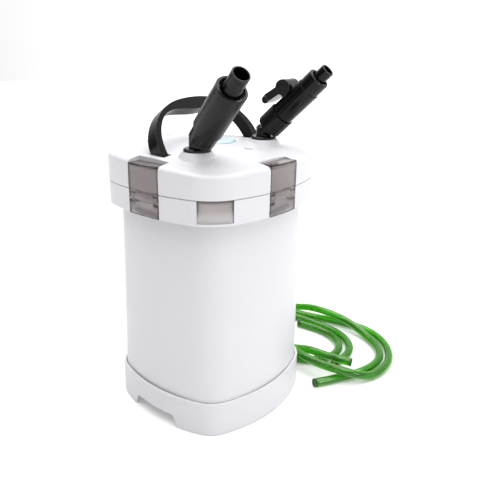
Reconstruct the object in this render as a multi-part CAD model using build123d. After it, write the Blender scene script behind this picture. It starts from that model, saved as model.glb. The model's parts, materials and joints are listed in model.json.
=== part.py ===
from build123d import *
import math
import os

# Canister filter for an aquarium: a tall white vessel with three media baskets, closed by a
# pump head that four latches hold, with swivelling intake and return hose connectors on top.
# Millimetres, +Z up, origin on the floor under the middle of the vessel.

# ---- driving dimensions -----------------------------------------------------------------
HEAD_X = 103.0            # half width of the head along X
HEAD_Y = 107.0            # half width of the head along Y
HEAD_SIDE_R = 218.0       # radius of the bulged sides
HEAD_CORNER_R = 48.0
COLLAR_INSET = 0.3        # the collar is this much smaller than the lid
Z_COLLAR = (249.2, 274.9)
Z_LID = (275.7, 315.0)
LID_EDGE_R = 5.5          # rounding of the lid's top edge
LID_WALL = 6.0
LID_ROOF = 5.0
CROWN_R = 600.0           # the lid's top is part of a large sphere
CROWN_X = -20.0           # its highest point, behind the middle

BODY_LOW = (94.8, 98.3)   # half widths of the vessel at its foot
BODY_HIGH = (91.1, 94.6)  # and under the collar
BODY_SIDE_R = 185.0
BODY_CORNER_R = 42.0
Z_BODY = (18.0, 246.5)
WALL = 3.5
NECK = (82.5, 86.5)
FLANGE = (87.5, 91.5)
Z_FLANGE = (264.0, 271.0)

PLINTH = (98.7, 102.5)
PLINTH_SIDE_R = 171.0
PLINTH_CORNER_R = 38.0
Z_PLINTH = (1.0, 40.3)
Z_PLINTH_PLATE = (14.5, 17.8)
NOTCH_WIDTH = (72.0, 60.0)  # finger notch, at the floor and at its top
NOTCH_TOP = 15.5

LATCH_W = 45.0
LATCH_T = 2.5
LATCH_GAP = 0.4
LATCH_REACH = 17.0        # how far the hook lies over the lid
HOOK_TOP = 303.5          # flat top of the hook
HOOK_EDGE_R = 1.2
HOOK_GAP = 0.6            # under the hook, so that it swings out freely
LATCH_Z = 249.4           # lower end of the latch
PIVOT_IN = 7.2            # latch pivot, in from the face
PIVOT_Z = 268.0
BAR_R = 4.3
KNUCKLE = 8.0             # width of each knuckle
KNUCKLE_R = 6.7

BASKET = (77.5, 81.5)
BASKET_Z = 25.0
BASKET_H = 74.0
BASKET_GAP = 0.4

PORT_X = 31.0
PORT_Y = 56.6
LEAN = 46.5               # connectors lean this much from upright
INTAKE_TURN = -17.0       # direction of each connector, turned from +X
RETURN_TURN = 8.0
STEM_R = 8.8
SPIGOT_BORE_R = 9.2

PUMP = (-46.0, -34.0)     # axis of the pump rotor
PRIMER = (-6.0, 10.0)     # centre of the priming button
PRIMER_R = 25.7

HANDLE_Z = 304.0          # height of the handle's pivot axis
HANDLE_LEAN = 32.0        # the handle rests leaning back
HANDLE_W = 15.0
HANDLE_BACK = 44.0        # slope of the pocket's floor, where the handle stops
HANDLE_GAP_IN = 2.0       # beside each leg, toward the middle
HANDLE_GAP_OUT = 0.7
LEG_Y = (73.0, 82.0)

FOOT_R = 9.0
FOOT_PLACES = [(x, y) for x in (-68.0, 68.0) for y in (-72.0, 72.0)]
SCREW_PLACES = [(x, y) for x, y in ((89.5, 40.0), (40.0, 93.5)) for x in (-x, x) for y in (-y, y)]
WINDOW_W = 37.0           # smoke window across one corner of the collar
WINDOW_Z = (251.5, 274.9)
WINDOW_TURN = -46.0       # toward the corner between +X and -Y
SCREW_R = 1.65
RISER_PLACE = (PORT_X, -PORT_Y)
RISER_R = 14.2
BASKET_WALL = 2.0
PLUG_PLACE = (47.2, 8.6)
PLUG_Z = 310.8
PORT_BOSS_R = (24.0, 16.2)  # foot and top of the raised seat of each connector
PORT_BOSS_Z = 303.0
BOSS_R = 4.2              # screw bosses
GLAND_PLACE = (62.0, 292.0)  # Y and Z of the cable gland on the back face
GLAND_NECK_R = 5.0
PIN_R = 2.5               # handle pins
DUCT_Z = 266.0
DUCT_R = 6.0
BELLOWS_Z = (290.5, 304.0)
O_RING_Z = (-26.0, -20.0)
VALVE_S = 57.5            # valve, along the return pipe
VALVE_U = 18.6            # lever axis, out from the pipe's centre line
CHEEK_R = 8.6
CHEEK_B = (9.6, 13.0)     # inner and outer face of each lever cheek
GATE_TRAVEL = 13.0

HOSE_R = 5.5
HOSE_BORE_R = 4.0
LAID = HOSE_R             # height of a hose's middle where it lies on the floor
OVER = 3 * HOSE_R + 3.0   # and where it crosses over another

os.makedirs("parts", exist_ok=True)


def save(shape, name):
    export_step(shape, "parts/" + name + ".step")


def group(solids):
    return Compound(children=list(solids))


# ---- basic shapes -----------------------------------------------------------------------
def outline(half_x, half_y, side_r, corner_r):
    """Rounded rectangle whose four sides bulge with radius side_r."""
    kx = half_x - side_r
    ky = half_y - side_r
    slope = kx / ky
    shift = (ky**2 - kx**2) / (2 * ky)
    a = 1 + slope**2
    b = 2 * (slope * shift - kx)
    c = kx**2 + shift**2 - side_r**2
    x = (-b + math.sqrt(b**2 - 4 * a * c)) / (2 * a)
    y = slope * x + shift
    sides = [
        ThreePointArc((x, -y), (half_x, 0), (x, y)),
        ThreePointArc((x, y), (0, half_y), (-x, y)),
        ThreePointArc((-x, y), (-half_x, 0), (-x, -y)),
        ThreePointArc((-x, -y), (0, -half_y), (x, -y)),
    ]
    face = make_face(sides)
    return fillet(face.vertices(), corner_r)


def head_outline(inset=0.0):
    return outline(HEAD_X - inset, HEAD_Y - inset, HEAD_SIDE_R - inset, HEAD_CORNER_R - inset)


def body_outline(half, inset=0.0):
    return outline(half[0] - inset, half[1] - inset, BODY_SIDE_R - inset, BODY_CORNER_R - inset)


def slab(face, z_low, z_high):
    return Pos(0, 0, z_low) * extrude(face, z_high - z_low)


def tube(r_out, r_in, z_low, z_high, at=(0.0, 0.0)):
    height = z_high - z_low
    ring = Cylinder(r_out, height) - Cylinder(r_in, height)
    return Pos(at[0], at[1], (z_low + z_high) / 2) * ring


def rod(radius, z_low, z_high, at=(0.0, 0.0)):
    return Pos(at[0], at[1], (z_low + z_high) / 2) * Cylinder(radius, z_high - z_low)


def block(low, high):
    size = [h - l for l, h in zip(low, high)]
    centre = [(h + l) / 2 for l, h in zip(low, high)]
    return Pos(*centre) * Box(*size)


# ---- vessel -----------------------------------------------------------------------------
def base_plinth():
    outer = outline(*PLINTH, PLINTH_SIDE_R, PLINTH_CORNER_R)
    inset = 3.0
    inner = outline(PLINTH[0] - inset, PLINTH[1] - inset, PLINTH_SIDE_R - inset, PLINTH_CORNER_R - inset)
    wall = slab(outer, *Z_PLINTH) - slab(inner, *Z_PLINTH)
    plate = slab(inner, *Z_PLINTH_PLATE) - slab(body_outline((60.0, 64.0)), *Z_PLINTH_PLATE)
    plinth = wall + plate
    for x, y in FOOT_PLACES:
        plinth += rod(FOOT_R + 2.0, 3.2, Z_PLINTH_PLATE[0] + 1, (x, y))
    low, high = NOTCH_WIDTH[0] / 2, NOTCH_WIDTH[1] / 2
    profile = Polyline((-low, -1), (-high, NOTCH_TOP), (high, NOTCH_TOP), (low, -1), close=True)
    face = fillet(make_face(profile).vertices().sort_by(Axis.Y)[2:], 5.0)
    cutter = extrude(Plane.XZ * face, 130, both=True)
    middle = block((-60, -85, -2), (60, 85, Z_PLINTH_PLATE[0] - 0.1))
    plinth -= cutter - middle
    return plinth - slab(body_outline(BODY_LOW, -0.2), Z_PLINTH_PLATE[1], Z_PLINTH[1] + 1)


def rubber_feet():
    return group([rod(FOOT_R, 0.0, 3.2, place) for place in FOOT_PLACES])


def tapered(z_low, z_high, inset):
    low = Pos(0, 0, z_low) * body_outline(BODY_LOW, inset)
    high = Pos(0, 0, z_high) * body_outline(BODY_HIGH, inset)
    return loft([low, high], ruled=True)


def canister_body():
    low, high = Z_BODY
    outer = tapered(low, high, 0.0)
    foot_edges = outer.edges().group_by(Axis.Z)[0]
    outer = fillet(foot_edges, 5.0)
    neck = slab(body_outline(NECK), high - 4, Z_FLANGE[1])
    flange = slab(body_outline(FLANGE), *Z_FLANGE)
    cavity = tapered(low + WALL, high - WALL, WALL)
    mouth = slab(body_outline(NECK, WALL), high - WALL - 1, Z_FLANGE[1] + 1)
    return outer + neck + flange - cavity - mouth


def seal_ring():
    ring = slab(body_outline(FLANGE, 0.5), Z_FLANGE[1], 276.0)
    return ring - slab(body_outline(NECK, 3.0), Z_FLANGE[1], 276.0)


def face_frames():
    """Each face's name, the turn that brings it to +X, and its distance from the middle."""
    return [
        ("latch_front", 0.0, HEAD_X),
        ("latch_right", 90.0, HEAD_Y),
        ("latch_back", 180.0, HEAD_X),
        ("latch_left", 270.0, HEAD_Y),
    ]


def turned(shape, degrees):
    return Rot(0, 0, degrees) * shape


def collar_ring():
    outer = slab(head_outline(COLLAR_INSET), *Z_COLLAR)
    collar = outer - slab(head_outline(COLLAR_INSET + 3.0), *Z_COLLAR)
    web_z = (256.0, 259.5)
    collar += slab(head_outline(COLLAR_INSET + 1.0), *web_z) - slab(body_outline(NECK, -0.5), *web_z)
    hook_z = (256.0, 263.7)
    collar += slab(body_outline(NECK, -5.0), *hook_z) - slab(body_outline(NECK, -0.5), *hook_z)
    side = LATCH_W / 2 + 0.5
    for _, degrees, half in face_frames():
        for sign in (-1, 1):
            gusset = block((half - 14.6, side, Z_COLLAR[0]), (half - 2.0, side + 3.0, Z_COLLAR[1]))
            gusset -= Pos(half - PIVOT_IN, side, PIVOT_Z) * Rot(90, 0, 0) * Cylinder(BAR_R + 0.02, 20)
            corner = Polyline((half - 14.7, 249), (half - 14.7, 256), (half - 7, 249), close=True)
            gusset -= extrude(Plane.XZ * make_face(corner), 60, both=True)
            gusset = gusset if sign > 0 else mirror(gusset, Plane.XZ)
            collar += turned(gusset, degrees)
        slot = block((half - 14.6, -side, Z_COLLAR[0] - 1), (half + 5, side, Z_COLLAR[1] + 1))
        collar -= turned(slot, degrees)
        bar_hole = Pos(half - PIVOT_IN, 0, PIVOT_Z) * Rot(90, 0, 0) * Cylinder(BAR_R + 0.02, 2 * side + 6.0)
        collar -= turned(bar_hole, degrees)
    return collar - window_box(0.0)


def window_box(trim):
    half = WINDOW_W / 2 - trim
    span = block((90.0, -half, WINDOW_Z[0] + trim), (130.0, half, WINDOW_Z[1] + 0.5))
    return turned(span, WINDOW_TURN)


def corner_window():
    pane = slab(head_outline(COLLAR_INSET + 1.2), *WINDOW_Z)
    pane -= slab(head_outline(COLLAR_INSET + 3.6), *WINDOW_Z)
    return pane & window_box(0.1)


def latch_pivot_bars():
    bars = []
    length = LATCH_W + 7.0
    for _, degrees, half in face_frames():
        bar = Pos(half - PIVOT_IN, 0, PIVOT_Z) * Rot(90, 0, 0) * Cylinder(BAR_R, length)
        bars.append(turned(bar, degrees))
    return group(bars)


def crown(inset):
    return Pos(CROWN_X, 0, Z_LID[1] - CROWN_R) * Rot(90, 0, 0) * Sphere(CROWN_R - inset)


def crowned_head():
    """The head's outer shape from the collar up: a crowned top with a rounded edge."""
    solid = slab(head_outline(), Z_LID[0], Z_LID[1] + 1) & crown(0.0)
    walls = solid.faces().filter_by(GeomType.SPHERE)
    return fillet(walls[0].edges(), LID_EDGE_R)


def latch(degrees, half):
    outer = slab(head_outline(), LATCH_Z, HOOK_TOP)
    outer = turned(fillet(outer.edges().group_by(Axis.Z)[-1], HOOK_EDGE_R), -degrees)
    inner = turned(slab(head_outline(LATCH_T), LATCH_Z - 1, HOOK_TOP - LATCH_T), -degrees)
    w = LATCH_W / 2
    region = block((half - LATCH_REACH, -w, LATCH_Z), (half + 5, w, HOOK_TOP + 1))
    plate = (outer & region) - inner
    pivot = Pos(half - PIVOT_IN, 0, PIVOT_Z) * Rot(90, 0, 0)
    for sign in (-1, 1):
        centre = sign * (w - KNUCKLE / 2)
        knuckle = Pos(half - PIVOT_IN, centre, PIVOT_Z) * Rot(90, 0, 0) * Cylinder(KNUCKLE_R, KNUCKLE)
        link_low = (half - PIVOT_IN, centre - KNUCKLE / 2, PIVOT_Z - KNUCKLE_R)
        link_high = (half - LATCH_T + 0.1, centre + KNUCKLE / 2, PIVOT_Z + KNUCKLE_R)
        plate += (knuckle + block(link_low, link_high)) & outer
    plate -= pivot * Cylinder(BAR_R + 0.06, LATCH_W + 2)
    return turned(plate, degrees)


# ---- media stack ------------------------------------------------------------------------
def basket(z_low):
    z_high = z_low + BASKET_H
    shell = slab(body_outline(BASKET), z_low, z_high)
    shell -= slab(body_outline(BASKET, BASKET_WALL), z_low + 2.4, z_high + 1)
    shell += rod(RISER_R + 3.0, z_low, z_high, RISER_PLACE)
    shell -= rod(RISER_R + 0.8, z_low - 1, z_high + 1, RISER_PLACE)
    return shell - floor_slots(z_low)


def floor_slots(z_low):
    slots = []
    for column in range(-3, 4):
        for row in range(-2, 3):
            x, y = 18.0 * column, 26.0 * row
            if math.hypot(x - RISER_PLACE[0], y - RISER_PLACE[1]) > 32:
                slots.append(block((x - 5, y - 10, z_low - 1), (x + 5, y + 10, z_low + 3)))
    return Compound(slots)


def basket_lid(z_low):
    lid = slab(body_outline(BASKET), z_low, z_low + 2.6)
    lid -= rod(RISER_R + 0.8, z_low - 1, z_low + 4, RISER_PLACE)
    return lid - floor_slots(z_low)


def media_block(z_low, z_high):
    pad = slab(body_outline(BASKET, BASKET_WALL + 0.5), z_low, z_high)
    return pad - rod(RISER_R + 3.4, z_low - 1, z_high + 1, RISER_PLACE)


# ---- head -------------------------------------------------------------------------------
def pocket_cut():
    """Handle pocket: round at the pivot, with a floor that slopes up where the handle folds."""
    clear = HANDLE_W / 2 + 0.6
    back = math.radians(HANDLE_BACK)
    foot = (-clear * math.cos(back), -clear * math.sin(back))
    reach = 42.0
    tip = (foot[0] - reach * math.sin(back), foot[1] + reach * math.cos(back))
    outline_points = [foot, tip, (tip[0], 30), (clear, 30), (clear, 0), (0, 0)]
    face = make_face(Polyline(*outline_points, close=True)) + Circle(clear)
    y_low, y_high = LEG_Y[0] - HANDLE_GAP_IN, LEG_Y[1] + HANDLE_GAP_OUT
    cut = extrude(Plane.XZ * face, y_high - y_low)
    return Pos(0, y_high, HANDLE_Z) * cut


def both_sides(shape):
    return [shape, mirror(shape, Plane.XZ)]


def lid_cavity():
    """The hollow under the lid, left solid round the handle pockets, hook notches and primer."""
    cavity = slab(head_outline(LID_WALL), Z_LID[0] - 1, Z_LID[1]) & crown(LID_ROOF)
    wall = 3.0
    for well in both_sides(block((-46, LEG_Y[0] - 5.0, 290.0), (11.5, LEG_Y[1] + 3.7, 316.0))):
        cavity -= well
    side = LATCH_W / 2 + 0.5 + wall
    notch_low = HOOK_TOP - LATCH_T - HOOK_GAP - wall
    for _, degrees, half in face_frames():
        well = block((half - LATCH_REACH - 0.5 - wall, -side, notch_low), (half + 5, side, 316.0))
        cavity -= turned(well, degrees)
    seat_z = Z_LID[1] - LID_ROOF
    cavity += rod(PRIMER_R + 4.0, 300.0, seat_z, PRIMER)
    return cavity - rod(PRIMER_R + 4.0, seat_z, 316.0, PRIMER)


def lid_shell():
    outer = crowned_head()
    lid = outer - lid_cavity()
    for place in SCREW_PLACES:
        lid += rod(BOSS_R, 280.1, Z_LID[1], place) & outer
    for place in SCREW_PLACES:
        lid -= rod(SCREW_R + 0.05, 279.0, 291.0, place)
    boss_h = Z_LID[1] - PORT_BOSS_Z
    for sign in (-1, 1):
        seat = Cone(*PORT_BOSS_R, boss_h)
        lid += Pos(PORT_X, sign * PORT_Y, PORT_BOSS_Z + boss_h / 2) * seat
    skin = slab(head_outline(LATCH_T + LATCH_GAP), Z_LID[0] - 5, 330)
    side = LATCH_W / 2 + 0.5
    for _, degrees, half in face_frames():
        region = block((half - LATCH_REACH, -side, Z_LID[0] - 2), (half + 5, side, 325))
        lid -= turned(region, degrees) - skin
        notch_low = (half - LATCH_REACH - 0.5, -side, HOOK_TOP - LATCH_T - HOOK_GAP)
        lid -= turned(block(notch_low, (half + 5, side, 325)), degrees)
    for cut in both_sides(pocket_cut()):
        lid -= cut
    for sign in (-1, 1):
        lid -= rod(12.4, 280.2, 320, (PORT_X, sign * PORT_Y))
    lid -= rod(PRIMER_R + 0.5, 300, 320, PRIMER)
    lid -= rod(2.4, 300, 320, PLUG_PLACE) + rod(5.3, PLUG_Z, 320, PLUG_PLACE)
    for pin in both_sides(handle_pin()):
        lid -= pin
    lid -= Pos(-HEAD_X, GLAND_PLACE[0], GLAND_PLACE[1]) * Rot(0, 90, 0) * Cylinder(GLAND_NECK_R, 30)
    return lid


def handle_pin():
    length = LEG_Y[1] - LEG_Y[0] + 7.0
    return Pos(0, sum(LEG_Y) / 2, HANDLE_Z) * Rot(90, 0, 0) * Cylinder(PIN_R, length)


def head_base():
    z_low, z_high = 276.0, 280.0
    base = slab(head_outline(LID_WALL + 0.2), z_low, z_high)
    base += slab(body_outline(NECK, WALL + 0.4), 262.0, z_low)
    base -= slab(body_outline(NECK, WALL + 3.4), 262.0, z_low)
    for sign in (-1, 1):
        base += rod(12.0, 262.0, Z_LID[1] - 0.4, (PORT_X, sign * PORT_Y))
        base -= rod(SPIGOT_BORE_R, 261.0, Z_LID[1], (PORT_X, sign * PORT_Y))
    base += rod(12.0, z_low, 306.0, PUMP)
    base -= rod(10.5, z_low - 1, 304.0, PUMP)
    for place in SCREW_PLACES:
        base -= rod(SCREW_R + 0.05, z_low - 1, z_high + 1, place)
    duct_end = (PORT_X, PORT_Y)
    base -= Pos(duct_end[0], duct_end[1], DUCT_Z) * duct_turn() * Pos(0, 0, -10) * Cylinder(DUCT_R + 0.1, 20)
    return base


def duct_angle():
    return math.degrees(math.atan2(PORT_Y - PUMP[1], PORT_X - PUMP[0]))


def duct_turn():
    """Turn that lays +Z along the line from the pump to the return port."""
    return Rot(0, 0, duct_angle()) * Rot(0, 90, 0)


def head_screws():
    screws = []
    for x, y in SCREW_PLACES:
        screws.append(rod(3.2, 273.6, 276.0, (x, y)) + rod(SCREW_R, 276.0, 289.0, (x, y)))
    return group(screws)


def motor_block():
    size = 20.0
    core = block((PUMP[0] - size, PUMP[1] - size, 280.0), (PUMP[0] + size, PUMP[1] + size, 303.0))
    core = fillet(core.edges().filter_by(Axis.Z), 4.0)
    return core - rod(12.1, 279.0, 304.0, PUMP)


def volute_cover():
    cup = rod(22.0, 257.0, 276.0, PUMP) - rod(19.5, 259.5, 277.0, PUMP) - rod(8.0, 256.0, 260.0, PUMP)
    mouth = Pos(PUMP[0], PUMP[1], DUCT_Z) * duct_turn() * Pos(0, 0, 20) * Cylinder(DUCT_R + 0.1, 16)
    web = block((PUMP[0] - 9, PUMP[1] - 1.2, 257.0), (PUMP[0] + 9, PUMP[1] + 1.2, 259.5))
    hub = rod(4.2, 257.0, 262.5, PUMP) - rod(3.4, 258.6, 263.0, PUMP)
    return cup + web + hub - mouth - rod(3.4, 258.6, 263.0, PUMP)


def outlet_duct():
    span = math.hypot(PORT_X - PUMP[0], PORT_Y - PUMP[1])
    start, end = 19.6, span - 9.3
    place = Pos(PUMP[0], PUMP[1], DUCT_Z) * duct_turn()
    pipe = place * Pos(0, 0, (start + end) / 2) * Cylinder(DUCT_R, end - start)
    pipe -= place * Pos(0, 0, (start + end) / 2) * Cylinder(DUCT_R - 1.4, end - start + 2)
    pipe -= rod(19.6, 250, 280, PUMP)
    return pipe - rod(SPIGOT_BORE_R, 250, 280, (PORT_X, PORT_Y))


def impeller():
    rotor = rod(9.7, 270.0, 300.0, PUMP)
    rotor += rod(16.5, 265.0, 267.0, PUMP)
    rotor += rod(5.0, 264.0, 271.0, PUMP)
    for index in range(6):
        blade = block((4.0, -0.9, 267.0), (16.3, 0.9, 273.5))
        rotor += Pos(PUMP[0], PUMP[1], 0) * Rot(0, 0, 60 * index) * blade
    return rotor - rod(2.05, 260, 305, PUMP)


def impeller_shaft():
    return rod(2.0, 259.4, 303.0, PUMP)


def shaft_bushes():
    upper = rod(4.5, 300.6, 304.0, PUMP) - rod(2.0, 300.0, 303.0, PUMP)
    lower = rod(3.4, 258.6, 262.3, PUMP) - rod(2.0, 259.4, 263.0, PUMP)
    return group([upper, lower])


def primer_housing():
    outer_r, floor_z = PRIMER_R + 2.9, 288.0
    cup = rod(outer_r, floor_z, 310.0, PRIMER) - rod(PRIMER_R + 0.5, floor_z + 2.5, 311.0, PRIMER)
    return cup - rod(5.0, floor_z - 1, floor_z + 4, PRIMER)


def primer_bellows():
    folds = 4
    height = (BELLOWS_Z[1] - BELLOWS_Z[0]) / folds
    outer, wall = [], 1.6
    for index in range(folds):
        z = BELLOWS_Z[0] + index * height
        outer += [(16.0, z), (21.0, z + height / 2)]
    outer.append((16.0, BELLOWS_Z[1]))
    inner = [(r - wall, z) for r, z in reversed(outer)]
    face = make_face(Polyline(*outer, *inner, close=True))
    return Pos(PRIMER[0], PRIMER[1], 0) * revolve(Plane.XZ * face, Axis.Z)


def primer_button():
    cap = rod(PRIMER_R, 311.2, 315.0, PRIMER)
    cap = fillet(cap.edges().group_by(Axis.Z)[-1], 0.8)
    skirt = tube(PRIMER_R - 0.4, PRIMER_R - 2.4, 304.0, 311.2, PRIMER)
    boss = rod(15.5, BELLOWS_Z[1], 311.2, PRIMER)
    return cap + skirt + boss


def lid_plug():
    head = rod(5.0, PLUG_Z, PLUG_Z + 1.8, PLUG_PLACE)
    head = fillet(head.edges().group_by(Axis.Z)[-1], 0.9)
    return head + rod(2.35, PLUG_Z - 4, PLUG_Z, PLUG_PLACE) - rod(1.2, PLUG_Z + 0.2, 317.0, PLUG_PLACE)


def cable_gland():
    y, z = GLAND_PLACE
    along = Rot(0, 90, 0)
    gland = Pos(-HEAD_X + 4.5, y, z) * along * Cylinder(GLAND_NECK_R, 13)
    nut = Pos(-HEAD_X - 2.5, y, z) * along * extrude(RegularPolygon(8.0, 6), 3.0, both=True)
    nose = Pos(-HEAD_X - 8.0, y, z) * along * Cylinder(5.4, 6.0)
    cutter_inset = slab(head_outline(0.0), 270, 330)
    outside = (nut + nose) - cutter_inset
    return outside + gland - Pos(-HEAD_X, y, z) * along * Cylinder(3.2, 60)


# ---- handle -----------------------------------------------------------------------------
def carry_handle():
    outer = [
        (82.0, 0.0), (82.4, 12.0), (79.5, 25.0), (72.5, 37.0), (62.0, 48.0),
        (49.0, 56.5), (34.0, 62.0), (17.0, 64.8), (0.0, 65.6),
    ]
    inner = [
        (73.0, 0.0), (73.4, 13.0), (70.4, 26.0), (63.5, 38.0),
        (54.0, 47.0), (42.0, 51.6), (24.0, 52.0), (0.0, 50.4),
    ]
    left = [(-y, h) for y, h in reversed(outer[:-1])]
    left_inner = [(-y, h) for y, h in inner[:-1]]
    over = Spline(*outer, *left)
    under = Spline(*left_inner, *reversed(inner))
    ends = [Line(outer[0], inner[0]), Line(left[-1], left_inner[0])]
    face = make_face([over, under, *ends])
    arch = extrude(Plane.YZ * face, HANDLE_W / 2, both=True)
    arch = Pos(0, 0, HANDLE_Z) * arch
    width = LEG_Y[1] - LEG_Y[0]
    for sign in (-1, 1):
        foot = Pos(0, sign * sum(LEG_Y) / 2, HANDLE_Z) * Rot(90, 0, 0)
        arch += foot * Cylinder(HANDLE_W / 2, width)
        arch -= foot * Cylinder(PIN_R + 0.08, width + 4)
    return Pos(0, 0, HANDLE_Z) * Rot(0, -HANDLE_LEAN, 0) * Pos(0, 0, -HANDLE_Z) * arch


# ---- connectors -------------------------------------------------------------------------
def placed(shape, side, turn):
    """From a connector's own frame (port centre on the lid, leaning toward +X) to its port."""
    return Pos(PORT_X, side * PORT_Y, Z_LID[1]) * Rot(0, 0, turn) * shape


def inclined(bend_z):
    """Frame at the bend, with +Z along the leaning pipe and +X on its lower side."""
    return Pos(0, 0, bend_z) * Rot(0, LEAN, 0)


def port_ring(side):
    place = (PORT_X, side * PORT_Y)
    ring = tube(14.7, STEM_R + 0.3, Z_LID[1], Z_LID[1] + 3.3, place)
    top = ring.edges().group_by(Axis.Z)[-1]
    return chamfer(top.sort_by(SortBy.LENGTH)[-1:], 1.2)


def gripped(radius, z_low, z_high):
    """A collar with ten shallow grip flutes that stop short of its upper end."""
    collar = rod(radius, z_low, z_high)
    flute = block((radius - 0.8, -1.2, z_low - 1), (radius + 1, 1.2, z_high - 1.5))
    for index in range(10):
        collar -= Rot(0, 0, 36 * index) * flute
    return collar


def stem(height):
    pipe = rod(STEM_R, -31.0, height)
    for z in O_RING_Z:
        pipe -= tube(STEM_R + 1, 7.8, z, z + 2.6)
    return pipe


def o_rings():
    return [tube(SPIGOT_BORE_R - 0.05, 7.8, z + 0.05, z + 2.55) for z in O_RING_Z]


def intake_connector():
    bend_z = 4.5
    frame = inclined(bend_z)
    elbow = stem(12.0) + frame * Sphere(STEM_R)
    elbow += frame * Pos(0, 0, 7.0) * Cone(5.5, STEM_R, 6.0) + frame * rod(STEM_R, 10.0, 16.0)
    elbow += frame * gripped(14.5, 13.4, 31.0)
    elbow += frame * rod(12.9, 31.0, 73.0)
    bore = rod(6.4, -32.0, bend_z) + frame * Sphere(6.4)
    bore += frame * rod(6.4, 0, 34.0) + frame * rod(9.6, 34.0, 74.0)
    elbow -= bore
    sleeve = tube(16.3, 13.0, 31.0, 73.9)
    sleeve = chamfer(sleeve.edges().group_by(Axis.Z)[0].sort_by(SortBy.LENGTH)[-1:], 0.8)
    nut = rod(16.2, 74.2, 91.0) - rod(13.4, 86.0, 92.0) - rod(11.2, 73.0, 92.0)
    nut = chamfer(nut.edges().group_by(Axis.Z)[-1].sort_by(SortBy.LENGTH)[-1:], 1.0)
    nozzle = rod(12.8, 73.3, 74.1) + rod(11.0, 74.1, 90.0)
    nozzle += Pos(0, 0, 93.5) * Cone(11.0, 9.3, 7.0) + rod(9.3, 97.0, 111.0)
    nozzle = chamfer(nozzle.edges().group_by(Axis.Z)[-1], 0.6)
    nozzle -= rod(7.9, 70.0, 112.0)
    pieces = {"intake_elbow": elbow, "intake_sleeve": frame * sleeve, "intake_lock_nut": frame * nut}
    pieces["intake_nozzle"] = frame * nozzle
    pieces["intake_o_rings"] = group(o_rings())
    return {name: placed(piece, -1, INTAKE_TURN) for name, piece in pieces.items()}


def return_connector():
    bend_z = 7.4
    frame = inclined(bend_z)
    neck_top = 16.5
    elbow = stem(neck_top)
    elbow = chamfer(elbow.edges().group_by(Axis.Z)[-1], 3.0)
    elbow += frame * rod(STEM_R, 0, 12.0)
    elbow += frame * gripped(15.0, 10.0, 32.4)
    elbow += frame * rod(11.0, 32.0, 40.0)
    elbow -= rod(6.2, -32.0, bend_z) + frame * Sphere(6.2) + frame * rod(6.2, 0, 41.0)

    body = rod(13.5, 34.0, 75.3)
    tower_low = (-VALVE_U, -9.2, VALVE_S - 8.5)
    tower = block(tower_low, (0.0, 9.2, VALVE_S + 8.5))
    tower += Pos(-VALVE_U, 0, VALVE_S) * Rot(90, 0, 0) * Cylinder(8.5, 18.4)
    body += tower
    body -= rod(11.1, 33.0, 40.3) + rod(6.2, 40.0, 73.0) + rod(10.2, 73.0, 76.0)
    channel = block((-VALVE_U - 9.5, -7.2, VALVE_S - 2.0), (6.0, 7.2, VALVE_S + 2.0))
    body -= channel
    pins = []
    pin_in, pin_out = 7.3, CHEEK_B[1] - 0.4
    for sign in (-1, 1):
        axis = Pos(-VALVE_U, sign * (pin_in + pin_out) / 2, VALVE_S) * Rot(90, 0, 0)
        pins.append(axis * Cylinder(2.0, pin_out - pin_in))
        body -= axis * Cylinder(2.02, 8.0)

    nut = rod(12.6, 75.6, 92.3) - rod(9.8, 88.0, 93.0) - rod(8.3, 74.0, 93.0)
    nut = chamfer(nut.edges().group_by(Axis.Z)[-1].sort_by(SortBy.LENGTH)[-1:], 0.8)
    nozzle = rod(10.0, 73.2, 75.4) + rod(8.1, 75.4, 87.0)
    nozzle += Pos(0, 0, 88.0) * Cone(8.1, 7.45, 2.0) + rod(7.45, 89.0, 105.0)
    nozzle = chamfer(nozzle.edges().group_by(Axis.Z)[-1], 0.5)
    nozzle -= rod(6.1, 70.0, 106.0)

    gate = block((-7.4 - GATE_TRAVEL - 0.6, -6.9, VALVE_S - 1.6), (-7.4, 6.9, VALVE_S + 1.6))
    pieces = {"return_elbow": elbow, "valve_body": frame * body, "return_lock_nut": frame * nut}
    pieces["return_nozzle"] = frame * nozzle
    pieces["valve_gate"] = frame * gate
    pieces["valve_lever"] = frame * valve_lever()
    pieces["valve_lever_pins"] = frame * group(pins)
    pieces["return_o_rings"] = group(o_rings())
    return {name: placed(piece, 1, RETURN_TURN) for name, piece in pieces.items()}


def valve_lever():
    hub = Pos(-VALVE_U, 0, VALVE_S) * Rot(90, 0, 0)
    lever = hub * Cylinder(CHEEK_R, 2 * CHEEK_B[1])
    tip = (-24.2, VALVE_S - 28.5)
    run = math.hypot(tip[0] + VALVE_U, tip[1] - VALVE_S)
    tilt = math.degrees(math.atan2(-VALVE_U - tip[0], VALVE_S - tip[1]))
    arm = block((-4.4, -CHEEK_B[1], -run + 1.0), (4.4, CHEEK_B[1], 0.0))
    arm = chamfer(arm.edges().filter_by(Axis.X).group_by(Axis.Z)[0], 5.0)
    arm += Pos(0, 0, -run + 1.0) * Rot(90, 0, 0) * Cylinder(4.4, 2 * CHEEK_B[1] - 10)
    lever += Pos(-VALVE_U, 0, VALVE_S) * Rot(0, tilt, 0) * arm
    lever -= hub * Cylinder(9.3, 2 * CHEEK_B[0])
    for sign in (-1, 1):
        face = Pos(-VALVE_U, sign * CHEEK_B[1], VALVE_S) * Rot(90, 0, 0)
        lever -= face * Cylinder(5.6, 2.4)
    return lever - hub * Cylinder(2.06, 40)


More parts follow.
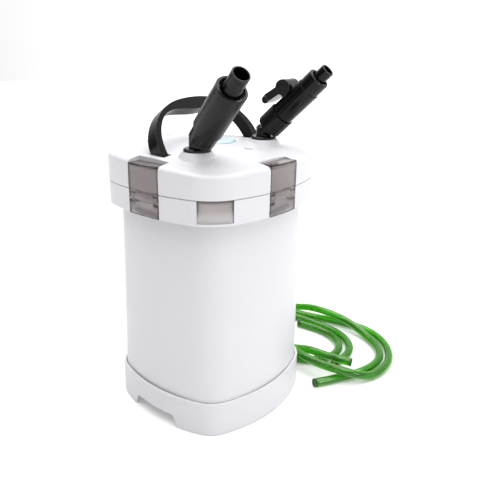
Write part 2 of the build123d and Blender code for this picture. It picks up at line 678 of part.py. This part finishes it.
# ---- loose hoses ------------------------------------------------------------------------
# Middle lines of the two loose hoses, which lie in loops behind the vessel's +Y side. Each
# list of points is the corners of a path of straight runs.
FIRST_HOSE = [
    (107, 78, LAID), (118, 97, LAID), (128, 118, LAID), (138, 140, LAID), (144, 165, LAID),
    (142, 190, LAID), (130, 212, LAID), (110, 229, LAID), (87, 239, 9.0), (63, 242, 16.0),
    (38, 242, OVER), (13, 242, OVER), (-12, 246, 15.0), (-38, 249, LAID), (-65, 245, LAID),
    (-90, 234, LAID), (-109, 214, LAID), (-117, 188, LAID), (-112, 161, LAID), (-98, 137, LAID),
    (-76, 121, LAID), (-51, 114, LAID), (-24, 113, LAID), (3, 114, LAID), (30, 111, LAID),
    (54, 112, LAID), (74, 123, LAID), (87, 142, LAID), (90, 164, LAID), (82, 185, LAID),
    (66, 200, LAID), (45, 207, LAID), (22, 207, LAID), (-1, 203, LAID),
]
SECOND_HOSE = [
    (128, 136, 18.0), (112, 130, OVER), (92, 126, OVER), (70, 126, OVER), (47, 128, 12.0),
    (23, 128, LAID), (-2, 126, LAID), (-26, 125, LAID), (-50, 127, LAID), (-73, 133, LAID),
    (-91, 148, LAID), (-101, 169, LAID), (-100, 192, LAID), (-89, 212, LAID), (-70, 224, LAID),
    (-47, 229, LAID), (-22, 231, LAID), (3, 238, LAID), (29, 247, LAID), (55, 254, LAID),
    (80, 256, LAID), (104, 250, LAID), (125, 237, LAID), (142, 218, LAID), (154, 195, LAID),
    (158, 169, LAID), (155, 143, LAID), (144, 121, 13.0), (125, 107, OVER), (102, 102, OVER),
    (78, 104, OVER), (55, 110, OVER), (31, 114, OVER), (8, 117, OVER), (-15, 121, OVER),
    (-37, 127, OVER), (-54, 141, 16.0), (-63, 162, 8.0), (-62, 184, LAID), (-51, 203, LAID),
    (-33, 215, LAID), (-11, 220, LAID), (13, 221, LAID), (38, 221, LAID), (63, 216, LAID),
    (85, 204, LAID), (100, 184, LAID), (105, 159, LAID), (102, 134, LAID),
]


def hose(name, route):
    """A tube along straight runs joined by tangent arcs as large as the runs allow."""
    points = [Vector(*point) for point in route]
    radii = []
    for before, corner, after in zip(points, points[1:], points[2:]):
        run_in, run_out = corner - before, after - corner
        half_turn = math.radians(run_in.get_angle(run_out) / 2)
        radii.append(0.45 * min(run_in.length, run_out.length) / math.tan(half_turn))
    path = FilletPolyline(*points, radius=radii)
    start = Plane(origin=points[0], z_dir=points[1] - points[0])
    skin = sweep(start * Circle(HOSE_R), path=path)
    bore = sweep(start * Circle(HOSE_BORE_R), path=path)
    tube_solid = skin - bore
    section = math.pi * (HOSE_R**2 - HOSE_BORE_R**2)
    share = tube_solid.volume / (section * path.length)
    print(name, "length", round(path.length), "volume / (section x length)", round(share, 4))
    print(name, "radii", [round(radius) for radius in radii])
    return tube_solid


# ---- build and write --------------------------------------------------------------------
def build_all():
    for name, degrees, half in face_frames():
        save(latch(degrees, half), name)
    single = {
        "base_plinth": base_plinth,
        "rubber_feet": rubber_feet,
        "canister_body": canister_body,
        "seal_ring": seal_ring,
        "collar_ring": collar_ring,
        "corner_window": corner_window,
        "latch_pivot_bars": latch_pivot_bars,
        "lid_shell": lid_shell,
        "head_base": head_base,
        "head_screws": head_screws,
        "motor_block": motor_block,
        "volute_cover": volute_cover,
        "outlet_duct": outlet_duct,
        "impeller": impeller,
        "impeller_shaft": impeller_shaft,
        "shaft_bushes": shaft_bushes,
        "primer_housing": primer_housing,
        "primer_bellows": primer_bellows,
        "primer_button": primer_button,
        "lid_plug": lid_plug,
        "cable_gland": cable_gland,
        "carry_handle": carry_handle,
    }
    for name, make in single.items():
        save(make(), name)
    save(group(both_sides(handle_pin())), "handle_pins")
    save(port_ring(-1), "intake_port_ring")
    save(port_ring(1), "return_port_ring")
    step = BASKET_H + BASKET_GAP
    for index, name in enumerate(("basket_lower", "basket_middle", "basket_upper")):
        save(basket(BASKET_Z + index * step), name)
    save(basket_lid(BASKET_Z + 3 * step), "basket_lid")
    media = {"coarse_foam": (3.0, 68.0), "bio_media": (3.0, 62.0), "fine_pad": (3.0, 44.0)}
    for index, (name, (low, high)) in enumerate(media.items()):
        base = BASKET_Z + index * step
        save(media_block(base + low, base + high), name)
    riser = tube(RISER_R, 12.1, 27.0, 272.0, RISER_PLACE)
    save(riser, "intake_riser")
    for pieces in (intake_connector(), return_connector()):
        for name, piece in pieces.items():
            save(piece, name)
    for name, route in (("loose_hose_1", FIRST_HOSE), ("loose_hose_2", SECOND_HOSE)):
        save(hose(name, route), name)


build_all()
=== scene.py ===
"""Looks of the canister filter: materials, moulded details and two loose hoses around the frame."""

import json
import math

import bmesh
import bpy
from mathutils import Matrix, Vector


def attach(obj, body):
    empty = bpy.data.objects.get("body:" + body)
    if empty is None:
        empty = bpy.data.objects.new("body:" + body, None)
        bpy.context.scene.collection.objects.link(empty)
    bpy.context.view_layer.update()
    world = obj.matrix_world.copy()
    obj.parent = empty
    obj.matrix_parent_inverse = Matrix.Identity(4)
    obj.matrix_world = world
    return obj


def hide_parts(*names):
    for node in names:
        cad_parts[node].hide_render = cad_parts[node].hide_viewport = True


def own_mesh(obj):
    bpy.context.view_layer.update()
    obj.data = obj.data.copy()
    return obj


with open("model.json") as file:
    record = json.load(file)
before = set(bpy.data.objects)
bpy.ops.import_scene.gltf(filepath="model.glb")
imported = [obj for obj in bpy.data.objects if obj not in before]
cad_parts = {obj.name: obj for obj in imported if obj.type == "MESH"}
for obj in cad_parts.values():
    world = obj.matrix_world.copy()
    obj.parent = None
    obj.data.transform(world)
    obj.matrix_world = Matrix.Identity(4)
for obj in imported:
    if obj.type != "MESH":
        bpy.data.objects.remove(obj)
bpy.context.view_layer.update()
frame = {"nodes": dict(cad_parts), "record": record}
nodes = frame["nodes"]

MM = 0.001

# How well a rounded normal agrees with the true one where an edge shows fully, and where it ends.
EDGE_FULL = 0.90
EDGE_NONE = 0.99
# width of the painted highlight along black plastic's sharp edges
PAINTED_EDGE_HIGHLIGHT_WIDTH = 0.0006
# width of the painted shade along clear plastic's sharp edges
PAINTED_EDGE_SHADE_WIDTH = 0.0042
# width of the painted shade along the smoke window's edges, under the lid and at its ends
WINDOW_PAINTED_SHADE_WIDTH = 0.006

# ---- sizes shared with the CAD, in millimetres ------------------------------------------
HOSE_R = 5.5
HOSE_WALL = 1.5
PRIMER = (-6.0, 10.0)
BELLOWS_Z = (290.5, 304.0)
BELLOWS_R = (16.0, 21.0)
BELLOWS_WALL = 1.6
BELLOWS_FOLDS = 4
BELLOWS_STEPS = 6         # points along each fold
BELLOWS_SEGMENTS = 64     # faces round the bellows
WINDOW_LOW = 252.0        # the window's painted glow is strongest here
WINDOW_HIGH = 268.0       # and full smoke from here up, with no painted glow
LAID = HOSE_R             # height of a hose's centre where it lies on the floor
OVER = 3 * HOSE_R + 3.0   # and where it crosses over another strand


# ---- shader helpers ---------------------------------------------------------------------
class Shader:
    """A material's node tree, with short calls for the nodes that the finishes share."""

    def __init__(self, name):
        self.material = bpy.data.materials.new(name)
        self.material.use_nodes = True
        self.tree = self.material.node_tree
        self.base = self.tree.nodes["Principled BSDF"]
        coords = self.tree.nodes.new("ShaderNodeTexCoord")
        self.place = coords.outputs["Object"]

    def node(self, kind, **settings):
        made = self.tree.nodes.new(kind)
        for key, value in settings.items():
            setattr(made, key, value)
        return made

    def link(self, source, target):
        self.tree.links.new(source, target)

    def put(self, name, value):
        """A plain value on one of the shader's own sockets."""
        self.base.inputs[name].default_value = value

    def noise(self, scale, detail=3.0, stretch=(1.0, 1.0, 1.0)):
        mapping = self.node("ShaderNodeMapping")
        mapping.inputs["Scale"].default_value = stretch
        self.link(self.place, mapping.inputs["Vector"])
        made = self.node("ShaderNodeTexNoise")
        made.inputs["Scale"].default_value = scale
        made.inputs["Detail"].default_value = detail
        self.link(mapping.outputs[0], made.inputs["Vector"])
        return made.outputs["Fac"]

    def span(self, source, low, high, start=0.3, end=0.7):
        """Maps a value that runs from start to end onto low to high."""
        made = self.node("ShaderNodeMapRange")
        made.inputs["From Min"].default_value = start
        made.inputs["From Max"].default_value = end
        made.inputs["To Min"].default_value = low
        made.inputs["To Max"].default_value = high
        self.link(source, made.inputs["Value"])
        return made.outputs["Result"]

    def blend(self, factor, first, second):
        """A colour between two, each a plain colour or another node's output."""
        made = self.node("ShaderNodeMix", data_type="RGBA")
        self.link(factor, made.inputs["Factor"])
        for socket, value in ((made.inputs[6], first), (made.inputs[7], second)):
            if isinstance(value, bpy.types.NodeSocket):
                self.link(value, socket)
            else:
                socket.default_value = (*value, 1.0)
        return made.outputs[2]

    def bump(self, layers):
        """Stacks height layers, each (height, strength, distance), onto the normal."""
        last = None
        for height, strength, distance in layers:
            made = self.node("ShaderNodeBump")
            made.inputs["Strength"].default_value = strength
            made.inputs["Distance"].default_value = distance
            self.link(height, made.inputs["Height"])
            if last is not None:
                self.link(last, made.inputs["Normal"])
            last = made.outputs["Normal"]
        self.link(last, self.base.inputs["Normal"])

    def edges(self, width):
        """1 along sharp edges and 0 elsewhere, from how far a rounded normal leaves the true one."""
        rounded = self.node("ShaderNodeBevel", samples=4)
        rounded.inputs["Radius"].default_value = width
        geometry = self.node("ShaderNodeNewGeometry")
        dot = self.node("ShaderNodeVectorMath", operation="DOT_PRODUCT")
        self.link(rounded.outputs["Normal"], dot.inputs[0])
        self.link(geometry.outputs["Normal"], dot.inputs[1])
        return self.span(dot.outputs["Value"], 1.0, 0.0, EDGE_FULL, EDGE_NONE)


def scaled(colour, share):
    return tuple(min(1.0, channel * share) for channel in colour)


def moulded(name, colour, roughness, grain, painted_edge_highlight=None, gloss=0.5, tint=0.03):
    """Moulded plastic: a fine spark-eroded grain, slow colour drift and, where asked, a painted
    highlight that lightens sharp edges in patches.
    """
    shader = Shader(name)
    drift = shader.span(shader.noise(9.0), 0.0, 1.0)
    paint = shader.blend(drift, scaled(colour, 1.0 - tint), scaled(colour, 1.0 + tint))
    # painted highlight: a lighter colour along sharp edges, broken into patches by noise, for edges
    # catching the light
    if painted_edge_highlight is not None:
        painted_edge_highlight_patches = shader.node("ShaderNodeMath", operation="MULTIPLY")
        shader.link(shader.edges(PAINTED_EDGE_HIGHLIGHT_WIDTH), painted_edge_highlight_patches.inputs[0])
        shader.link(shader.span(shader.noise(160.0, 4.0), 0.15, 1.0), painted_edge_highlight_patches.inputs[1])
        paint = shader.blend(painted_edge_highlight_patches.outputs[0], paint, painted_edge_highlight)
    shader.link(paint, shader.base.inputs["Base Color"])
    smear = shader.noise(38.0, 4.0)
    shader.link(shader.span(smear, roughness - 0.05, roughness + 0.05), shader.base.inputs["Roughness"])
    shader.bump([(shader.noise(14.0, 2.0), 0.10, 0.0004), (shader.noise(2400.0, 2.0), grain, 0.00005)])
    shader.put("IOR", 1.49)
    shader.put("Specular IOR Level", gloss)
    return shader.material


def clear_plastic(name, colour, roughness, transmission, gloss=0.5, painted_edge_shade=None, painted_edge_shade_width=PAINTED_EDGE_SHADE_WIDTH):
    """Tinted see-through plastic with faint flow lines from moulding and, where asked, a painted shade
    that darkens it along its sharp edges.
    """
    shader = Shader(name)
    drift = shader.span(shader.noise(30.0, 4.0, (1.0, 1.0, 0.3)), 0.0, 1.0)
    paint = shader.blend(drift, scaled(colour, 0.93), scaled(colour, 1.07))
    # painted shade: a dark colour along sharp edges, for the darkening where light runs through more of
    # the plastic
    if painted_edge_shade is not None:
        paint = shader.blend(shader.edges(painted_edge_shade_width), paint, painted_edge_shade)
    shader.link(paint, shader.base.inputs["Base Color"])
    smear = shader.noise(60.0, 5.0)
    shader.link(shader.span(smear, roughness, roughness + 0.08), shader.base.inputs["Roughness"])
    shader.bump([(shader.noise(45.0, 3.0, (1.0, 1.0, 0.25)), 0.08, 0.0003)])
    shader.put("Transmission Weight", transmission)
    shader.put("IOR", 1.46)
    shader.put("Specular IOR Level", gloss)
    return shader.material


WHITE = (0.565, 0.56, 0.586)
BLACK = (0.003, 0.003, 0.0035)
SMOKE = (0.66, 0.60, 0.59)
# painted shade for the smoke plastic's edges, where the latches look dark
SMOKE_PAINTED_EDGE_SHADE = (0.03, 0.026, 0.025)
# painted glow: pale smoke for the white body showing through the window's lower part
SMOKE_PAINTED_GLOW = (0.90, 0.88, 0.88)
GREEN = (0.15, 0.54, 0.02)
# painted shade along the hose's sharp edges, for the dark rims of a see-through tube
GREEN_PAINTED_EDGE_SHADE = (0.02, 0.14, 0.005)

finishes = {
    "white_plastic": moulded("white_abs", WHITE, 0.34, 0.05, tint=0.012),
    # the latches' smoke plastic, darkened along its edges by painted shade
    "smoke_plastic": clear_plastic("smoke_polycarbonate_painted_edge_shade", SMOKE, 0.03, 1.0, painted_edge_shade=SMOKE_PAINTED_EDGE_SHADE),
    # black plastic, lighter along its sharp edges from a painted highlight
    "black_plastic": moulded(
        "black_abs_painted_edge_highlight", BLACK, 0.20, 0.08, painted_edge_highlight=(0.10, 0.10, 0.105), gloss=0.22, tint=0.15
    ),
    "blue_translucent": clear_plastic("aqua_polypropylene", (0.66, 0.86, 0.92), 0.22, 0.45),
    # hose plastic, darkened along its sharp edges by painted shade
    "hose_green": clear_plastic("green_pvc_painted_edge_shade", GREEN, 0.01, 0.92, painted_edge_shade=GREEN_PAINTED_EDGE_SHADE),
    "rubber_black": moulded("black_rubber", (0.014, 0.014, 0.014), 0.62, 0.35, tint=0.2),
    "grey_plastic": moulded("grey_abs", (0.23, 0.235, 0.245), 0.42, 0.12),
    "basket_grey": moulded("basket_polypropylene", (0.42, 0.44, 0.47), 0.45, 0.10),
    "foam_blue": moulded("coarse_foam", (0.05, 0.16, 0.42), 0.9, 0.9, tint=0.3),
    "bio_ceramic": moulded("bio_ceramic", (0.62, 0.50, 0.38), 0.85, 0.9, tint=0.3),
    "floss_white": moulded("fine_floss", (0.82, 0.82, 0.80), 0.95, 0.8, tint=0.1),
    "steel": moulded("brushed_steel", (0.55, 0.55, 0.56), 0.30, 0.05),
    "ceramic_white": moulded("shaft_ceramic", (0.86, 0.85, 0.82), 0.22, 0.02),
    "magnet_dark": moulded("bonded_ferrite", (0.045, 0.042, 0.04), 0.5, 0.2, tint=0.2),
}
finishes["steel"].node_tree.nodes["Principled BSDF"].inputs["Metallic"].default_value = 1.0


def window_plastic():
    """The smoke window: painted shade darkens it under the lid's seam and at its ends, and it clears to
    a pale middle, a painted glow for the white body seen through it.
    """
    # painted shade along the edges, under the lid's seam and at the ends
    pane = clear_plastic("smoke_window_painted_light", SMOKE, 0.05, 0.75, painted_edge_shade=SMOKE_PAINTED_EDGE_SHADE, painted_edge_shade_width=WINDOW_PAINTED_SHADE_WIDTH)
    tree = pane.node_tree
    base = tree.nodes["Principled BSDF"].inputs["Base Color"]
    edge_shaded_smoke = base.links[0].from_socket
    split = tree.nodes.new("ShaderNodeSeparateXYZ")
    tree.links.new(tree.nodes["Texture Coordinate"].outputs["Object"], split.inputs[0])
    # painted glow: the smoke pales downward from WINDOW_HIGH to WINDOW_LOW
    height = tree.nodes.new("ShaderNodeMapRange")
    height.interpolation_type = "SMOOTHSTEP"
    height.inputs["From Min"].default_value = WINDOW_LOW * MM
    height.inputs["From Max"].default_value = WINDOW_HIGH * MM
    tree.links.new(split.outputs["Z"], height.inputs["Value"])
    glow_mix = tree.nodes.new("ShaderNodeMix")
    glow_mix.data_type = "RGBA"
    tree.links.new(height.outputs["Result"], glow_mix.inputs["Factor"])
    glow_mix.inputs[6].default_value = (*SMOKE_PAINTED_GLOW, 1.0)
    tree.links.new(edge_shaded_smoke, glow_mix.inputs[7])
    tree.links.new(glow_mix.outputs[2], base)
    return pane


def dress(piece, finish):
    piece.data.materials.clear()
    piece.data.materials.append(finishes[finish])


slot_of_node = {part["node"]: part["material_slot"] for part in frame["record"]["subparts"]}
for node_name, node in nodes.items():
    dress(node, slot_of_node[node_name])
nodes["corner_window"].data.materials[0] = window_plastic()


# ---- priming bellows --------------------------------------------------------------------
def bellows_profile():
    """Radius and height along the outside of the folds, one rounded wave to a fold."""
    steps = BELLOWS_STEPS * BELLOWS_FOLDS
    low, high = BELLOWS_R
    points = []
    for index in range(steps + 1):
        share = index / steps
        swell = 0.5 - 0.5 * math.cos(share * BELLOWS_FOLDS * 2.0 * math.pi)
        z = BELLOWS_Z[0] + share * (BELLOWS_Z[1] - BELLOWS_Z[0])
        points.append((low + (high - low) * swell, z))
    return points


def soft_bellows():
    """The rubber bellows, revolved as a closed wall."""
    outside = bellows_profile()
    inside = [(radius - BELLOWS_WALL, z) for radius, z in reversed(outside)]
    profile = outside + inside
    shape = bmesh.new()
    rings = []
    for turn in range(BELLOWS_SEGMENTS):
        angle = 2.0 * math.pi * turn / BELLOWS_SEGMENTS
        ring = []
        for radius, z in profile:
            x = PRIMER[0] + radius * math.cos(angle)
            y = PRIMER[1] + radius * math.sin(angle)
            ring.append(shape.verts.new((x * MM, y * MM, z * MM)))
        rings.append(ring)
    for turn, ring in enumerate(rings):
        following = rings[(turn + 1) % BELLOWS_SEGMENTS]
        for index in range(len(profile)):
            after = (index + 1) % len(profile)
            shape.faces.new((ring[index], following[index], following[after], ring[after]))
    bmesh.ops.recalc_face_normals(shape, faces=shape.faces)
    mesh = bpy.data.meshes.new("bellows_soft")
    shape.to_mesh(mesh)
    shape.free()
    mesh.polygons.foreach_set("use_smooth", [True] * len(mesh.polygons))
    piece = bpy.data.objects.new("bellows_soft", mesh)
    bpy.context.scene.collection.objects.link(piece)
    finish = slot_of_node["primer_bellows"]
    dress(piece, finish)
    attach(piece, "canister")
    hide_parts("primer_bellows")
    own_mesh(piece)


soft_bellows()


# ---- loose hoses ------------------------------------------------------------------------
FIRST_HOSE = [
    (107, 78, LAID), (118, 97, LAID), (128, 118, LAID), (138, 140, LAID), (144, 165, LAID),
    (142, 190, LAID), (130, 212, LAID), (110, 229, LAID), (87, 239, 9.0), (63, 242, 16.0),
    (38, 242, OVER), (13, 242, OVER), (-12, 246, 15.0), (-38, 249, LAID), (-65, 245, LAID),
    (-90, 234, LAID), (-109, 214, LAID), (-117, 188, LAID), (-112, 161, LAID), (-98, 137, LAID),
    (-76, 121, LAID), (-51, 114, LAID), (-24, 113, LAID), (3, 114, LAID), (30, 111, LAID),
    (54, 112, LAID), (74, 123, LAID), (87, 142, LAID), (90, 164, LAID), (82, 185, LAID),
    (66, 200, LAID), (45, 207, LAID), (22, 207, LAID), (-1, 203, LAID),
]
SECOND_HOSE = [
    (128, 136, 18.0), (112, 130, OVER), (92, 126, OVER), (70, 126, OVER), (47, 128, 12.0),
    (23, 128, LAID), (-2, 126, LAID), (-26, 125, LAID), (-50, 127, LAID), (-73, 133, LAID),
    (-91, 148, LAID), (-101, 169, LAID), (-100, 192, LAID), (-89, 212, LAID), (-70, 224, LAID),
    (-47, 229, LAID), (-22, 231, LAID), (3, 238, LAID), (29, 247, LAID), (55, 254, LAID),
    (80, 256, LAID), (104, 250, LAID), (125, 237, LAID), (142, 218, LAID), (154, 195, LAID),
    (158, 169, LAID), (155, 143, LAID), (144, 121, 13.0), (125, 107, OVER), (102, 102, OVER),
    (78, 104, OVER), (55, 110, OVER), (31, 114, OVER), (8, 117, OVER), (-15, 121, OVER),
    (-37, 127, OVER), (-54, 141, 16.0), (-63, 162, 8.0), (-62, 184, LAID), (-51, 203, LAID),
    (-33, 215, LAID), (-11, 220, LAID), (13, 221, LAID), (38, 221, LAID), (63, 216, LAID),
    (85, 204, LAID), (100, 184, LAID), (105, 159, LAID), (102, 134, LAID),
]


def loose_hose(name, route, node):
    """A hollow hose along one smooth curve. The route's points are its control points."""
    curve = bpy.data.curves.new(name, "CURVE")
    curve.dimensions = "3D"
    spline = curve.splines.new("NURBS")
    spline.points.add(len(route) - 1)
    for point, place in zip(spline.points, route):
        point.co = (*(MM * value for value in place), 1.0)
    spline.order_u = 3
    spline.use_endpoint_u = True
    spline.resolution_u = 10
    curve.bevel_depth = HOSE_R * MM
    curve.bevel_resolution = 8
    piece = bpy.data.objects.new(name, curve)
    bpy.context.scene.collection.objects.link(piece)
    wall = piece.modifiers.new("wall", "SOLIDIFY")
    wall.thickness = HOSE_WALL * MM
    wall.offset = -1.0
    dress(piece, "hose_green")
    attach(piece, "canister")
    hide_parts(node)
    return piece


loose_hose("hose_first", FIRST_HOSE, "loose_hose_1")
loose_hose("hose_second", SECOND_HOSE, "loose_hose_2")


# ---- studio -----------------------------------------------------------------------------
FLOOR_GLOW = 0.2          # keeps the sheet white as far as its edge


def floor_sheet(half):
    mesh = bpy.data.meshes.new("floor")
    shape = bmesh.new()
    bmesh.ops.create_grid(shape, x_segments=8, y_segments=8, size=half)
    shape.to_mesh(mesh)
    shape.free()
    piece = bpy.data.objects.new("floor", mesh)
    bpy.context.scene.collection.objects.link(piece)
    paper = moulded("floor_paper", (0.66, 0.66, 0.66), 0.9, 0.05, tint=0.005)
    glow = paper.node_tree.nodes["Principled BSDF"].inputs
    glow["Emission Color"].default_value = (1.0, 1.0, 1.0, 1.0)
    glow["Emission Strength"].default_value = FLOOR_GLOW
    mesh.materials.append(paper)


def softbox(name, place, aim, size, power):
    data = bpy.data.lights.new(name, "AREA")
    data.shape = "RECTANGLE"
    data.size, data.size_y = size
    data.energy = power
    lamp = bpy.data.objects.new(name, data)
    lamp.location = place
    lamp.rotation_mode = "QUATERNION"
    lamp.rotation_quaternion = (Vector(aim) - Vector(place)).to_track_quat("-Z", "Y")
    bpy.context.scene.collection.objects.link(lamp)


def overhead(strength, spread):
    """Even light from above, so wide that its shadows have no edge."""
    data = bpy.data.lights.new("overhead", "SUN")
    data.energy = strength
    data.angle = spread
    lamp = bpy.data.objects.new("overhead", data)
    bpy.context.scene.collection.objects.link(lamp)


def surroundings(bright_side, dim, bright):
    """Even white light that falls off toward the side away from bright_side."""
    world = bpy.data.worlds.new("studio")
    bpy.context.scene.world = world
    world.use_nodes = True
    tree = world.node_tree
    coords = tree.nodes.new("ShaderNodeTexCoord")
    dot = tree.nodes.new("ShaderNodeVectorMath")
    dot.operation = "DOT_PRODUCT"
    dot.inputs[1].default_value = Vector(bright_side).normalized()
    tree.links.new(coords.outputs["Generated"], dot.inputs[0])
    level = tree.nodes.new("ShaderNodeMapRange")
    level.inputs["From Min"].default_value = -0.9
    level.inputs["From Max"].default_value = 0.1
    level.inputs["To Min"].default_value = dim
    level.inputs["To Max"].default_value = bright
    tree.links.new(dot.outputs["Value"], level.inputs["Value"])
    tree.links.new(level.outputs[0], tree.nodes["Background"].inputs["Strength"])
    tree.nodes["Background"].inputs["Color"].default_value = (1.0, 1.0, 1.0, 1.0)


floor_sheet(6.0)
surroundings((0.45, 0.88, 0.1), 0.08, 1.02)
middle = (0.0, 0.0, 0.2)
softbox("key", (1.9, 0.1, 0.9), middle, (0.3, 0.45), 4.0)
overhead(3.9, math.radians(80.0))

# ---- camera -----------------------------------------------------------------------------
CAMERA_PLACE = (0.43756, -0.48288, 0.42086)
CAMERA_AIM = (-0.6389, 0.7050, -0.3079)
CAMERA_LENS = 41.07
CAMERA_SHIFT = (0.0767, -0.0429)

camera_data = bpy.data.cameras.new("camera")
camera = bpy.data.objects.new("camera", camera_data)
bpy.context.scene.collection.objects.link(camera)
camera.location = CAMERA_PLACE
camera.rotation_mode = "QUATERNION"
camera.rotation_quaternion = Vector(CAMERA_AIM).to_track_quat("-Z", "Y")
camera_data.sensor_width = 36.0
camera_data.lens = CAMERA_LENS
camera_data.shift_x, camera_data.shift_y = CAMERA_SHIFT
camera_data.clip_start = 0.01
bpy.context.scene.camera = camera
bpy.context.scene.view_settings.view_transform = "Standard"
bpy.context.scene.view_settings.look = "None"
